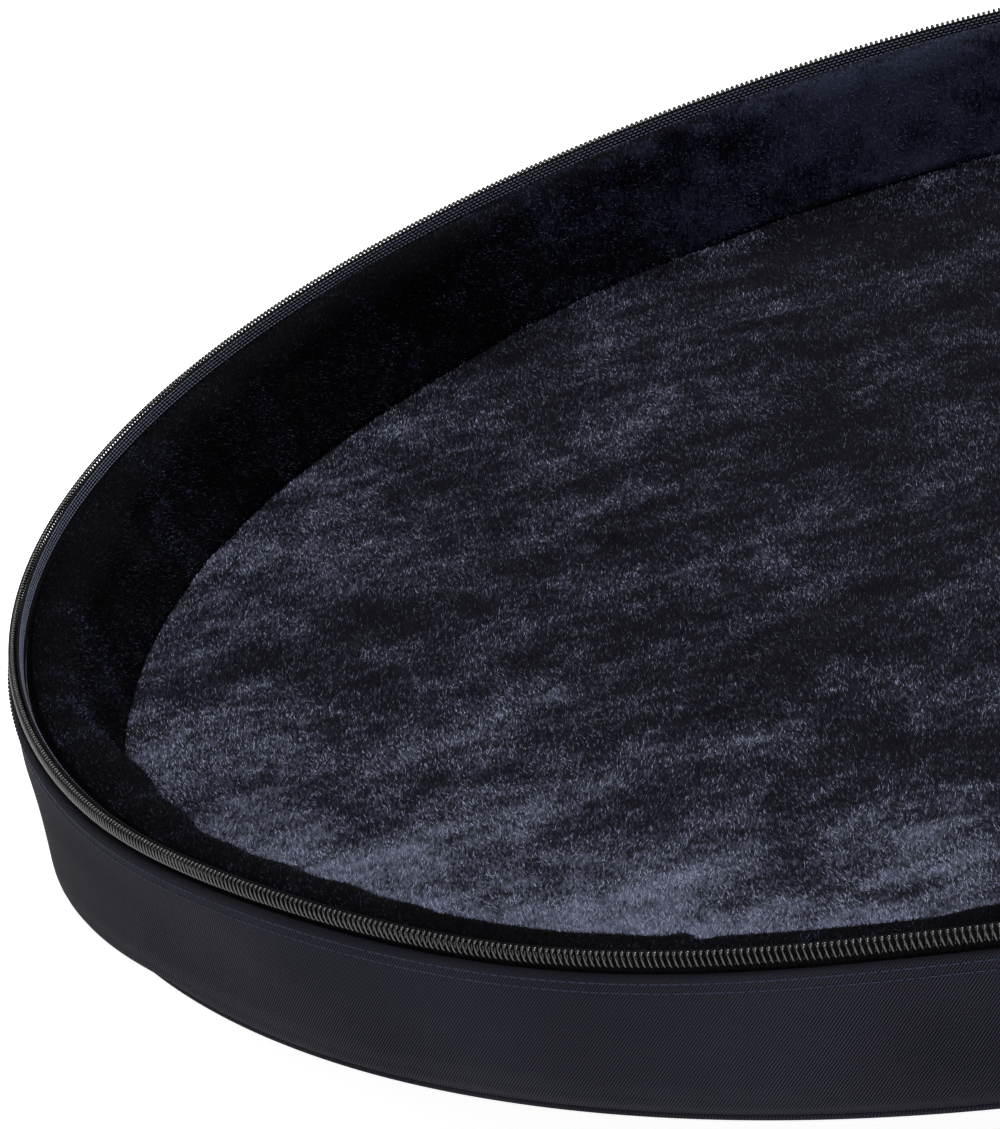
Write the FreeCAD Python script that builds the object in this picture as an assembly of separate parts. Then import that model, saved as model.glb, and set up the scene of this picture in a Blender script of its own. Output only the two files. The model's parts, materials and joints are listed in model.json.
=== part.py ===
"""Round padded soft bag for a handpan: a deep body and a shallow lid with a fabric hinge.

Both halves share one outline: a circle with a short flat where the fabric hinge is sewn.
The origin is on the floor under the centre of the body, +Z up. The hinge is on the -X side,
and the lid lies flipped over, with its far edge resting on the floor. All sizes are in mm.
"""
import FreeCAD, Part
import math
import os

# Outline, shared by the body and the lid
OUTER_R = 313.0           # outer face of the side panels
HINGE_FLAT = 6.0          # how far the flat for the hinge cuts into the circle
FLAT_BLEND_R = 80.0       # rounds the ends of the flat
CORNER_R = 12.0           # outer edge between a side panel and an end panel

# Heights. A depth is measured from the rim plane, where the two zipper halves meet
BODY_H = 195.0            # rim plane above the floor
LID_D = 49.0              # rim plane to the outer face of the lid
HEM_DEPTH = 6.5           # top edge of the outer fabric
HEM_LENGTH = 9.5
FOAM_DEPTH = 7.5
LINING_DEPTH = 6.0

# Layers
FABRIC = 1.5
WALL_IN_R = 294.0         # plush face inside
PLUSH = 4.0
PANEL_PLUSH = 3.0
BOARD = 2.0
BASE_FOAM_TOP = 12.0
LID_FOAM = 4.0
GAP = 0.1                 # between layers that touch

# Zipper
TAPE_R = 308.4
TAPE = 0.6
TAPE_TOP = 0.9
TAPE_DEPTH = 20.0
COIL_TOP = 0.7
COIL_HEIGHT = 4.0
COIL_WIDTH = 2.8
BODY_COIL_END = 163.0     # degrees either side of the front
BODY_TAPE_END = 167.0
LID_COIL_END = 155.8
LID_TAPE_END = 157.6
END_TAB_ARC = 1.8         # degrees

# Zipper sliders
PARKED_AT = 160.0         # degrees either side of the front
SLIDER_LENGTH = 16.0
PLATE = 1.4
INNER_PLATE_R = 306.5
OUTER_PLATE_R = 312.3
PLATE_HALF = 5.8
NECK_HALF = 0.4
BAIL_R = 317.2            # axis of the bar that carries the pull
BAIL_BAR_R = 1.1
PULL_WIDTH = 8.0
PULL_LENGTH = 20.0
PULL_THICK = 1.8
PULL_EYE_R = 2.8
PULL_GRIP = 24.0

# Fabric hinge
HINGE_OUT = 8.0           # hinge axis outside the flat
HINGE_HALF = 56.0
HINGE_CLOTH = 0.8
HINGE_TAIL = 16.0

# Carrying handle, at the front of the body
HANDLE_Z = 98.0
HANDLE_W = 30.0
WEBBING = 2.5
PATCH = 1.2
HANDLE_FOOT = (16.0, 25.0)    # degrees: the part sewn to the wall
HANDLE_REACH = 37.0
GRIP_ARC = 30.0
GRIP_PAD = 4.5

HINGE_X = -(OUTER_R - HINGE_FLAT + HINGE_OUT)
UP = FreeCAD.Vector(0, 0, 1)


def tilt_of_open_lid():
    """How far the open lid slopes down from the hinge until its far corner meets the floor."""
    reach = OUTER_R - HINGE_X - CORNER_R
    drop = LID_D - CORNER_R
    slope = math.asin((BODY_H - CORNER_R) / math.hypot(reach, drop))
    return math.degrees(slope - math.atan2(drop, reach))


OPEN_ANGLE = 180.0 + tilt_of_open_lid()


def polar(radius, angle, z=0.0):
    a = math.radians(angle)
    return FreeCAD.Vector(radius * math.cos(a), radius * math.sin(a), z)


def block(radius, low, high, round_low=0.0, round_high=0.0):
    """The bag's outline at this radius, as a solid between two heights."""
    flat_x = -(radius - HINGE_FLAT)
    half = math.sqrt(radius ** 2 - flat_x ** 2)
    start = FreeCAD.Vector(flat_x, -half, low)
    end = FreeCAD.Vector(flat_x, half, low)
    arc = Part.Arc(start, FreeCAD.Vector(radius, 0, low), end).toShape()
    face = Part.Face(Part.Wire([arc, Part.makeLine(end, start)]))
    solid = face.extrude(UP * (high - low))
    uprights = [e for e in solid.Edges if abs(e.tangentAt(e.FirstParameter).z) > 0.99
                and e.BoundBox.XMax < 0]
    solid = solid.makeFillet(FLAT_BLEND_R, uprights)
    for level, size in ((low, round_low), (high, round_high)):
        if size:
            rim = [e for e in solid.Edges
                   if abs(e.BoundBox.ZMin - level) < 0.01 and abs(e.BoundBox.ZMax - level) < 0.01]
            solid = solid.makeFillet(size, rim)
    return solid


def ring(outer, inner, low, high):
    return block(outer, low, high).cut(block(inner, low - 1, high + 1))


def sector(outer, inner, low, high, half_angle, middle=0.0):
    """Part of a plain round ring, spread either side of one direction."""
    corners = [(inner, low), (outer, low), (outer, high), (inner, high), (inner, low)]
    section = Part.makePolygon([FreeCAD.Vector(x, 0, z) for x, z in corners])
    solid = Part.Face(section).revolve(FreeCAD.Vector(), UP, 2 * half_angle)
    solid.rotate(FreeCAD.Vector(), UP, middle - half_angle)
    return solid


def filled(floor, rim, inset):
    """The whole half as one solid, this far inside its outer face, rounded at its end panel."""
    size = CORNER_R - inset
    if rim > floor:
        return block(OUTER_R - inset, floor + inset, rim, size, 0.0)
    return block(OUTER_R - inset, rim, floor - inset, 0.0, size)


def slab(low, high):
    """A box wide enough to cut a whole half of the bag at two heights."""
    size = 4 * OUTER_R
    return Part.makeBox(size, size, high - low, FreeCAD.Vector(-size / 2, -size / 2, low))


def outer_skin(floor, rim):
    """Side panel, end panel and the welt in the seam between them, half way round the corner.

    The end panel lies at the height floor and the skin reaches to the height rim.
    """
    sign = 1 if rim > floor else -1
    cup = filled(floor, rim, 0.0).cut(filled(floor, rim + sign, FABRIC))
    seam = floor + sign * CORNER_R * (1 - math.sqrt(0.5))
    seam_r = OUTER_R - CORNER_R * (1 - math.sqrt(0.5))
    welt = ring(seam_r + 1.2, seam_r - 2.6, seam - 0.9, seam + 0.9)
    hem_low, hem_high = sorted((rim, rim - sign * HEM_LENGTH))
    hem = ring(OUTER_R - FABRIC, TAPE_R + TAPE + 0.3, hem_low, hem_high)
    above = slab(*sorted((seam, rim + sign)))
    below = slab(*sorted((seam, floor - sign)))
    side = cup.common(above).cut(welt).fuse(hem).removeSplitter()
    end = cup.common(below).cut(welt)
    return side, end, welt


def wall_foam(foot, rim):
    """Foam in the wall, rebated at the rim for the zipper tape and the hem."""
    sign = 1 if rim > foot else -1
    shoulder = rim - sign * (TAPE_DEPTH - FOAM_DEPTH + 1)
    inside = WALL_IN_R + PLUSH
    lower = ring(OUTER_R - FABRIC - GAP, inside, *sorted((foot, shoulder)))
    upper = ring(TAPE_R - 2 * GAP, inside, *sorted((shoulder, rim)))
    return lower.fuse(upper).removeSplitter()


def wall_lining(foot, rim):
    """Plush on the wall, turned outwards over the foam at the rim."""
    sign = 1 if rim > foot else -1
    cover = rim - sign * (FOAM_DEPTH - LINING_DEPTH)
    wall = ring(WALL_IN_R + PLUSH, WALL_IN_R, *sorted((foot, rim)))
    brim = ring(TAPE_R - 2 * GAP, WALL_IN_R, *sorted((cover, rim)))
    return wall.fuse(brim).removeSplitter()


def zipper_half(rim, sign, coil_end, tape_end):
    """Tape, coil and end tabs of one zipper half. sign points into its half of the bag."""
    tape_z = sorted((rim + sign * TAPE_TOP, rim + sign * TAPE_DEPTH))
    tape = sector(TAPE_R + TAPE, TAPE_R, *tape_z, tape_end)
    middle = FreeCAD.Vector(TAPE_R + TAPE + COIL_WIDTH / 2, 0, rim + sign * (COIL_TOP + COIL_HEIGHT / 2))
    section = Part.Ellipse(middle + UP * (COIL_HEIGHT / 2), middle + FreeCAD.Vector(COIL_WIDTH / 2, 0, 0),
                           middle).toShape()
    coil = Part.Face(Part.Wire([section])).revolve(FreeCAD.Vector(), UP, 2 * coil_end)
    coil.rotate(FreeCAD.Vector(), UP, -coil_end)
    tab_z = sorted((rim + sign * COIL_TOP, rim + sign * (COIL_TOP + COIL_HEIGHT)))
    tab_r = TAPE_R + TAPE
    place = coil_end + END_TAB_ARC / 2
    tabs = [sector(tab_r + COIL_WIDTH + 0.2, tab_r, *tab_z, END_TAB_ARC / 2, side * place)
            for side in (-1, 1)]
    return tape, coil, Part.makeCompound(tabs)


def slider():
    """One zipper slider, made at the front of the rim: two plates, a neck and a bail for the pull."""
    half = math.degrees(SLIDER_LENGTH / 2 / OUTER_R)
    inner_half = LINING_DEPTH - 0.6
    inner = sector(INNER_PLATE_R + PLATE, INNER_PLATE_R, BODY_H - inner_half, BODY_H + inner_half, half)
    outer = sector(OUTER_PLATE_R + PLATE, OUTER_PLATE_R, BODY_H - PLATE_HALF, BODY_H + PLATE_HALF, half)
    neck = Part.makeBox(OUTER_PLATE_R - INNER_PLATE_R, 6, 2 * NECK_HALF,
                        FreeCAD.Vector(INNER_PLATE_R + 0.5, -3, BODY_H - NECK_HALF))
    solid = inner.fuse(outer).fuse(neck)
    for side in (-1, 1):
        lip_z = sorted((BODY_H + side * PLATE_HALF, BODY_H + side * (PLATE_HALF - 0.8)))
        solid = solid.fuse(sector(OUTER_PLATE_R + 0.5, TAPE_R + TAPE + 0.6, *lip_z, half))
        post = Part.makeBox(BAIL_R - OUTER_PLATE_R, 2, 2 * BAIL_BAR_R,
                            FreeCAD.Vector(OUTER_PLATE_R + 0.5, side * 5 - 1, BODY_H - BAIL_BAR_R))
        solid = solid.fuse(post)
    bar = Part.makeCylinder(BAIL_BAR_R, 12, FreeCAD.Vector(BAIL_R, -6, BODY_H), FreeCAD.Vector(0, 1, 0))
    return solid.fuse(bar).removeSplitter()


def pull():
    """The slider's metal pull, hanging from the bail, and the moulded grip on its end."""
    across = FreeCAD.Vector(0, 1, 0)
    eye_w = 5.0
    eye = Part.makeCylinder(PULL_EYE_R, eye_w, FreeCAD.Vector(BAIL_R, -eye_w / 2, BODY_H), across)
    hole = Part.makeCylinder(BAIL_BAR_R + 0.35, eye_w + 2, FreeCAD.Vector(BAIL_R, -eye_w / 2 - 1, BODY_H),
                             across)
    tab = Part.makeBox(PULL_THICK, eye_w, PULL_LENGTH,
                       FreeCAD.Vector(BAIL_R - PULL_THICK / 2, -eye_w / 2, BODY_H - PULL_LENGTH - 1))
    metal = eye.fuse(tab).cut(hole).removeSplitter()
    thick = PULL_THICK + 2.0
    top = BODY_H - PULL_LENGTH + 6
    grip = Part.makeBox(thick, PULL_WIDTH, PULL_GRIP,
                        FreeCAD.Vector(BAIL_R - thick / 2, -PULL_WIDTH / 2, top - PULL_GRIP))
    grip = grip.makeFillet(1.5, grip.Edges)
    return metal, grip.cut(metal)


def hinge_gusset():
    """The cloth hinge with the lid open: up from the body's wall, over, and down into the lid's."""
    half = HINGE_CLOTH / 2
    foot = OUTER_R - HINGE_FLAT + HINGE_OUT - (TAPE_R + TAPE / 2 - HINGE_FLAT)
    tilt = math.radians(OPEN_ANGLE - 180)

    def at_lid(out, depth):
        x = out * math.cos(tilt) + depth * math.sin(tilt)
        return FreeCAD.Vector(HINGE_X + x, 0, BODY_H + out * math.sin(tilt) - depth * math.cos(tilt))

    def at_body(out, depth):
        return FreeCAD.Vector(HINGE_X + out, 0, BODY_H - depth)

    def crown(rise):
        return FreeCAD.Vector(HINGE_X, 0, BODY_H + 2.5 + rise)

    bend = 2.0
    over = Part.Arc(at_body(foot + half, bend), crown(half), at_lid(-foot - half, bend)).toShape()
    under = Part.Arc(at_lid(-foot + half, bend), crown(-half), at_body(foot - half, bend)).toShape()
    lid_tail = Part.makePolygon([at_lid(-foot - half, bend), at_lid(-foot - half, HINGE_TAIL),
                                 at_lid(-foot + half, HINGE_TAIL), at_lid(-foot + half, bend)])
    body_tail = Part.makePolygon([at_body(foot - half, bend), at_body(foot - half, HINGE_TAIL),
                                  at_body(foot + half, HINGE_TAIL), at_body(foot + half, bend)])
    edges = [over] + lid_tail.Edges + [under] + body_tail.Edges
    face = Part.Face(Part.Wire(edges))
    face.translate(FreeCAD.Vector(0, -HINGE_HALF, 0))
    return face.extrude(FreeCAD.Vector(0, 2 * HINGE_HALF, 0))


def handle():
    """Webbing handle sewn to the front of the body, its two patches and its padded grip."""
    low, high = HANDLE_Z - HANDLE_W / 2, HANDLE_Z + HANDLE_W / 2
    near, far = HANDLE_FOOT
    foot_r = OUTER_R + PATCH
    middle, spread = (near + far) / 2, (far - near) / 2
    patches = [sector(foot_r, OUTER_R, low - 6, high + 6, spread + 1.2, side * middle) for side in (-1, 1)]
    feet = [sector(foot_r + WEBBING, foot_r, low, high, spread, side * middle) for side in (-1, 1)]
    start = polar(foot_r + WEBBING / 2, near)
    apex = OUTER_R + HANDLE_REACH
    rise = apex - start.x
    bend_r = (start.y ** 2 + rise ** 2) / (2 * rise)
    centre = FreeCAD.Vector(apex - bend_r, 0, 0)
    swing = math.degrees(math.asin(start.y / bend_r)) + 1.0
    arch = sector(bend_r + WEBBING / 2, bend_r - WEBBING / 2, low, high, swing)
    arch.translate(centre)
    backing = Part.makeCylinder(foot_r, high - low + 20, FreeCAD.Vector(0, 0, low - 10))
    strap = arch.cut(backing).fuse(feet).removeSplitter()
    grip_r = WEBBING / 2 + GRIP_PAD
    grip = sector(bend_r + grip_r, bend_r - grip_r, low - 4, high + 4, GRIP_ARC)
    grip = grip.makeFillet(3.0, [e for e in grip.Edges if e.Length > 30])
    grip.translate(centre)
    sleeve = grip.cut(strap)
    return strap, Part.makeCompound(patches), sleeve


def body_nodes():
    side, base, welt = outer_skin(0.0, BODY_H - HEM_DEPTH)
    core = filled(0.0, BODY_H, FABRIC + GAP).cut(welt)
    foam_wall = wall_foam(BASE_FOAM_TOP, BODY_H - FOAM_DEPTH)
    base_top = BASE_FOAM_TOP + BOARD
    tape, coil, tabs = zipper_half(BODY_H, -1, BODY_COIL_END, BODY_TAPE_END)
    strap, patches, grip = handle()
    return {
        "body_side_panel": side,
        "body_base_panel": base,
        "body_base_welt": welt,
        "body_base_foam": core.common(slab(0.0, BASE_FOAM_TOP)),
        "body_base_board": block(WALL_IN_R + PLUSH - GAP, BASE_FOAM_TOP, base_top),
        "body_wall_foam": foam_wall,
        "body_floor_lining": block(WALL_IN_R - GAP, base_top, base_top + PANEL_PLUSH),
        "body_wall_lining": wall_lining(base_top, BODY_H - LINING_DEPTH).cut(foam_wall),
        "body_zipper_tape": tape,
        "body_zipper_coil": coil,
        "body_zipper_end_tabs": tabs,
        "hinge_gusset": hinge_gusset(),
        "handle_strap": strap,
        "handle_patches": patches,
        "handle_grip": grip,
    }


def lid_nodes():
    """The lid as it is when closed, above the rim plane."""
    outside = BODY_H + LID_D
    foam_low = outside - FABRIC - LID_FOAM
    side, panel, welt = outer_skin(outside, BODY_H + HEM_DEPTH)
    core = filled(outside, BODY_H, FABRIC + GAP).cut(welt)
    foam_wall = wall_foam(foam_low, BODY_H + FOAM_DEPTH).common(core)
    tape, coil, tabs = zipper_half(BODY_H, 1, LID_COIL_END, LID_TAPE_END)
    return {
        "lid_side_panel": side,
        "lid_top_panel": panel,
        "lid_welt": welt,
        "lid_panel_foam": core.common(slab(foam_low, outside)),
        "lid_wall_foam": foam_wall,
        "lid_floor_lining": block(WALL_IN_R - GAP, foam_low - PANEL_PLUSH, foam_low),
        "lid_wall_lining": wall_lining(foam_low, BODY_H + LINING_DEPTH).cut(foam_wall),
        "lid_zipper_tape": tape,
        "lid_zipper_coil": coil,
        "lid_zipper_end_tabs": tabs,
    }


def slider_nodes():
    nodes = {}
    for name, side in (("left", -1), ("right", 1)):
        body = slider()
        metal, grip = pull()
        for shape in (body, metal, grip):
            shape.rotate(FreeCAD.Vector(), UP, side * PARKED_AT)
        nodes["slider_body_" + name] = body
        nodes["slider_pull_" + name] = metal
        nodes["slider_grip_" + name] = grip
    return nodes


def main():
    os.makedirs("parts", exist_ok=True)
    nodes = body_nodes()
    for name, shape in lid_nodes().items():
        shape.rotate(FreeCAD.Vector(HINGE_X, 0, BODY_H), FreeCAD.Vector(0, 1, 0), -OPEN_ANGLE)
        nodes[name] = shape
    nodes.update(slider_nodes())
    for name, shape in nodes.items():
        shape.exportStep("parts/" + name + ".step")
    print("open angle %.3f degrees, hinge at x %.1f z %.1f" % (OPEN_ANGLE, HINGE_X, BODY_H))


main()
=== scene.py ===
"""Looks for the round padded handpan bag: sewn twill outside, plush inside, spiral coil zipper.

Everything is in metres. Both halves share one outline, a circle with a short flat at the
hinge, and every sewn piece is lofted round it. A depth is measured from the rim plane, where
the two zipper halves meet, into the half.
"""
import itertools
import json
import math
import bmesh
import bpy
import numpy as np
from mathutils import Matrix, Vector


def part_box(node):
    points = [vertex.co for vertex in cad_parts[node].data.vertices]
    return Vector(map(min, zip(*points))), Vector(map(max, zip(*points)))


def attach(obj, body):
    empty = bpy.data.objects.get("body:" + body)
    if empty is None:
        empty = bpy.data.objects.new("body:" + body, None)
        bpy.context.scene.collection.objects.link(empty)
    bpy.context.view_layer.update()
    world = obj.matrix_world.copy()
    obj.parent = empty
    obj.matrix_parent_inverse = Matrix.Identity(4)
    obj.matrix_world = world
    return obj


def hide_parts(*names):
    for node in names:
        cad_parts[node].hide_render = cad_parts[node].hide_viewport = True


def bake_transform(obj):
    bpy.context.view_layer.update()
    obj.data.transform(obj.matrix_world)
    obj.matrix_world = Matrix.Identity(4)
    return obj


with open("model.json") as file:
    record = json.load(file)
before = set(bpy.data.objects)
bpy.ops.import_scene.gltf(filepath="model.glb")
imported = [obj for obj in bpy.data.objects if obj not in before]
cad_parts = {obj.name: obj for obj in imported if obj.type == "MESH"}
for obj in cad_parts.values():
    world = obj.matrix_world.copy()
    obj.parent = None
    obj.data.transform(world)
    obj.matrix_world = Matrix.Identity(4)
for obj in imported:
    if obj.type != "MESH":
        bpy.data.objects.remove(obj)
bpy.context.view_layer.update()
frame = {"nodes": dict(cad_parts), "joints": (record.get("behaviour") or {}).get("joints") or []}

MM = 0.001
HINGE = next(j for j in frame["joints"] if j["name"] == "lid_hinge")
AXIS = Vector(HINGE["pos_m"])
OPEN = math.radians(HINGE["range_deg"][1])
RIM_Z = AXIS.z
OUTER_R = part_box("body_side_panel")[1][1]
FLAT = OUTER_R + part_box("body_side_panel")[0][0]
LID_DEPTH = 49 * MM
CORNER = 12 * MM
SEAM_TURN = math.radians(45)      # the seam lies half way round the corner

HEM_DEPTH = 6.5 * MM
CLOTH = 1.4 * MM
PLUSH_R = 294 * MM                # inner face of the wall
WALL_R = 298 * MM
BRIM_R = 307.6 * MM
BRIM_DEPTH = 3.4 * MM             # crown of the plush roll
TAPE_R = 308.4 * MM
TAPE = 0.6 * MM
COIL_R = 310.35 * MM
COIL_DEPTH = 2.75 * MM            # middle of the coil
COIL_HIGH = 4.3 * MM
COIL_WIDE = 2.6 * MM
WIRE_R = 0.34 * MM
PITCH = 1.69 * MM

AROUND = 720                      # steps round a sewn piece


# Shape helpers ------------------------------------------------------------------------------

def outline(angle, radius):
    """Distance from the middle to the outline of this radius. Angle 0 is the front."""
    soft = np.minimum(1.5 * MM, 0.01 * radius)
    cut = np.minimum(FLAT, FLAT * radius / (280 * MM))
    flat = (radius - cut) / np.maximum(-np.cos(angle), 0.05)
    gap = np.clip((flat - radius) / soft, -60, 60)
    return radius - soft * np.logaddexp(0, -gap)


def rim_wave(angle, depth):
    """Height by which the soft rim strays from its plane, the same on both halves. It fades below."""
    away = (np.degrees(angle) + 55 + 180) % 360 - 180
    fade = np.clip(1 - depth / (42 * MM), 0, 1)
    return 1.5 * MM * fade * np.exp(-(away / 36) ** 4) * np.cos(np.radians(9 * away))


def waves(points, size, seed, count=18):
    """Smooth random undulation through space, about -1 to 1, with features of this size."""
    rng = np.random.default_rng(seed)
    total = np.zeros(points.shape[:-1])
    for _ in range(count):
        way = rng.normal(size=3)
        way *= math.tau / (size * rng.uniform(0.7, 1.7)) / np.linalg.norm(way)
        total += np.sin(points @ way + rng.uniform(0, math.tau))
    return total * 1.4 / math.sqrt(count)


class Half:
    """The body or the lid: places points given as radius, angle and depth."""

    def __init__(self, name, depth, coil_end, tape_end):
        self.name = name
        self.depth = depth
        self.coil_end = math.radians(coil_end)
        self.tape_end = math.radians(tape_end)
        self.lid = name == "lid"

    def place(self, radius, angle, depth):
        reach = outline(angle, radius)
        height = RIM_Z + rim_wave(angle, depth) + (depth if self.lid else -depth)
        return self.flip(np.stack([reach * np.cos(angle), reach * np.sin(angle), height], -1))

    def flip(self, points):
        """Turns points of the closed lid to where the open lid lies."""
        if not self.lid:
            return points
        turn = np.array(Matrix.Rotation(-OPEN, 3, "Y"))
        axis = np.array(AXIS)
        return (points - axis) @ turn.T + axis

    def piece(self, name, grid, **options):
        return loft(self.name + "_" + name, grid, inside_out=self.lid, **options)


def mesh_object(name, points, faces, uv=None, smooth=True):
    mesh = bpy.data.meshes.new(name)
    faces = np.asarray(faces, dtype=np.int32)
    corners = faces.shape[1]
    mesh.vertices.add(len(points))
    mesh.vertices.foreach_set("co", np.asarray(points, dtype=np.float32).ravel())
    mesh.loops.add(faces.size)
    mesh.loops.foreach_set("vertex_index", faces.ravel())
    mesh.polygons.add(len(faces))
    mesh.polygons.foreach_set("loop_start", np.arange(0, faces.size, corners, dtype=np.int32))
    mesh.polygons.foreach_set("loop_total", np.full(len(faces), corners, dtype=np.int32))
    mesh.update(calc_edges=True)
    mesh.polygons.foreach_set("use_smooth", np.full(len(faces), smooth))
    if uv is not None:
        layer = mesh.uv_layers.new(name="cloth")
        layer.data.foreach_set("uv", np.asarray(uv, dtype=np.float32).reshape(-1, 2).ravel())
    mesh.validate()
    obj = bpy.data.objects.new(name, mesh)
    bpy.context.collection.objects.link(obj)
    return obj


def grid_faces(rows, columns, close_rows, close_columns):
    """Quads of a grid, and the same quads in unwrapped row and column numbers."""
    i, j = np.meshgrid(np.arange(rows - (not close_rows)), np.arange(columns - (not close_columns)),
                       indexing="ij")
    i, j = i.ravel(), j.ravel()
    ring = np.stack([i, i + 1, i + 1, i], 1), np.stack([j, j, j + 1, j + 1], 1)
    faces = (ring[0] % rows) * columns + ring[1] % columns
    return faces, ring


def loft(name, grid, close_rows=True, close_columns=True, inside_out=False, cap=False, smooth=True):
    """A surface through a grid of points: rows go round the bag, columns along the section."""
    rows, columns = grid.shape[:2]
    faces, (i, j) = grid_faces(rows, columns, close_rows, close_columns)
    along = math.tau * OUTER_R / AROUND * (AROUND / rows if close_rows else 1.0)
    step = np.linalg.norm(np.diff(grid[0], axis=0, append=grid[0][:1]), axis=1)
    down = np.concatenate([[0], np.cumsum(step)])
    uv = np.stack([i * along, down[j]], -1)
    if inside_out:
        faces = faces[:, ::-1]
        uv = uv[:, ::-1]
    points = grid.reshape(-1, 3)
    obj = mesh_object(name, points, faces, uv, smooth)
    if cap:
        close_ends(obj)
    return obj


def close_ends(obj):
    """Fills the open rows of a tube or strip with one face each."""
    shape = bmesh.new()
    shape.from_mesh(obj.data)
    bmesh.ops.holes_fill(shape, edges=[e for e in shape.edges if e.is_boundary], sides=0)
    shape.to_mesh(obj.data)
    shape.free()


def arc(radius_at, depth_at, size, start, end, steps):
    """Points (radius, depth) round a quarter or part of a circle, angles in degrees."""
    turn = np.radians(np.linspace(start, end, steps))
    return [(radius_at + size * math.cos(t), depth_at + size * math.sin(t)) for t in turn]


def spaced(section, step):
    """Adds points to a section's long runs, so that the surface can ripple."""
    result = []
    for a, b in zip(section, section[1:] + section[:1]):
        parts = max(1, round(math.dist(a, b) / step))
        shares = [k / parts for k in range(parts)]
        result += [(a[0] + (b[0] - a[0]) * k, a[1] + (b[1] - a[1]) * k) for k in shares]
    return result


def ringed(section, rows=AROUND, start=0.0, end=math.tau, closed=True):
    """Carries a section round the bag: grids of angle, radius and depth, rows by columns."""
    angles = np.linspace(start, end, rows, endpoint=not closed)
    section = np.array(section)
    angle = angles[:, None] + 0 * section[None, :, 0]
    return angle, section[None, :, 0] + 0 * angle, section[None, :, 1] + 0 * angle


# Materials ----------------------------------------------------------------------------------

class Look:
    """A node material, built up step by step."""

    def __init__(self, name, roughness=0.8, **sockets):
        self.material = bpy.data.materials.new(name)
        self.material.use_nodes = True
        self.nodes = self.material.node_tree.nodes
        self.links = self.material.node_tree.links
        self.shader = self.nodes["Principled BSDF"]
        self.shader.inputs["Roughness"].default_value = roughness
        for key, value in sockets.items():
            self.shader.inputs[key.replace("_", " ")].default_value = value

    def node(self, kind, inputs=(), **settings):
        made = self.nodes.new("ShaderNode" + kind)
        for key, value in settings.items():
            setattr(made, key, value)
        for key, value in dict(inputs).items():
            self.put(made.inputs[key], value)
        return made

    def put(self, socket, value):
        if isinstance(value, bpy.types.NodeSocket):
            self.links.new(value, socket)
        else:
            socket.default_value = value

    def math(self, operation, a, b=0.0, c=0.0):
        return self.node("Math", {0: a, 1: b, 2: c}, operation=operation).outputs[0]

    def away(self, value, middle, gain):
        """How far a value is from its middle, times a gain."""
        return self.math("MULTIPLY", self.math("SUBTRACT", value, middle), gain)

    def span(self, value, start, end):
        """0 to 1 as a value goes from start to end."""
        return self.node("MapRange", {"Value": value, "From Min": start, "From Max": end}).outputs[0]

    def axes(self, where):
        return self.node("SeparateXYZ", {0: where}).outputs

    def where(self, source, scale=(1, 1, 1), turn=0.0, place=(0, 0, 0)):
        coordinates = self.node("TexCoord").outputs[source]
        return self.node("Mapping", {"Vector": coordinates, "Scale": scale, "Location": place,
                                     "Rotation": (0, 0, turn)}).outputs[0]

    def noise(self, where, scale, detail=2.0, roughness=0.5):
        inputs = {"Vector": where, "Scale": scale, "Detail": detail, "Roughness": roughness}
        return self.node("TexNoise", inputs).outputs["Fac"]

    def ramp(self, value, stops, mode="LINEAR"):
        made = self.node("ValToRGB", {"Fac": value})
        made.color_ramp.interpolation = mode
        elements = made.color_ramp.elements
        while len(elements) < len(stops):
            elements.new(0.5)
        for element, (place, colour) in zip(elements, stops):
            element.position = place
            element.color = (*colour, 1) if len(colour) == 3 else colour
        return made.outputs[0]

    def mix(self, amount, a, b):
        made = self.node("Mix", {"Factor": amount}, data_type="RGBA")
        self.put(made.inputs["A"], a)
        self.put(made.inputs["B"], b)
        return made.outputs["Result"]

    def colour(self, value):
        self.put(self.shader.inputs["Base Color"], value)

    def bump(self, height, distance, strength=1.0):
        bump = self.node("Bump", {"Height": height, "Distance": distance, "Strength": strength})
        self.put(self.shader.inputs["Normal"], bump.outputs[0])


def stripes(look, where, way, period):
    """A wave from 0 to 1 across one direction of the cloth, with this period in metres."""
    parts = look.axes(where)
    across = look.math("ADD", look.math("MULTIPLY", parts[0], math.cos(way)),
                       look.math("MULTIPLY", parts[1], math.sin(way)))
    swing = look.math("SINE", look.math("MULTIPLY", across, math.tau / period))
    return look.math("MULTIPLY_ADD", swing, 0.5, 0.5)


def twill_look():
    """Black coated polyester twill: fine diagonal ribs, cut across by the threads."""
    look = Look("outer_twill", roughness=0.85, Specular_IOR_Level=0.04)
    cloth = look.where("UV")
    drift = look.noise(cloth, 260, 3)
    parts = look.axes(cloth)
    wavy = look.node("CombineXYZ", {0: look.math("ADD", parts[0], look.math("MULTIPLY", drift, 0.55 * MM)),
                                    1: parts[1]}).outputs[0]
    rib = stripes(look, wavy, math.radians(-42), 0.64 * MM)
    thread = stripes(look, wavy, math.radians(46), 0.55 * MM)
    grain = look.noise(cloth, 2600, 2)
    height = look.math("ADD", look.math("MULTIPLY", rib, 0.65), look.math("MULTIPLY", thread, 0.3))
    height = look.math("ADD", height, look.math("MULTIPLY", grain, 0.5))
    fade = look.math("MULTIPLY", look.noise(cloth, 14, 4), 0.25)
    tone = look.math("ADD", look.math("MULTIPLY", height, 0.62), fade)
    look.colour(look.ramp(tone, [(0.36, (0.0008, 0.0009, 0.0018)), (0.56, (0.007, 0.0072, 0.0112)),
                                 (0.80, (0.027, 0.027, 0.037))]))
    look.bump(height, 0.14 * MM, 0.8)
    return look.material


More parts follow.
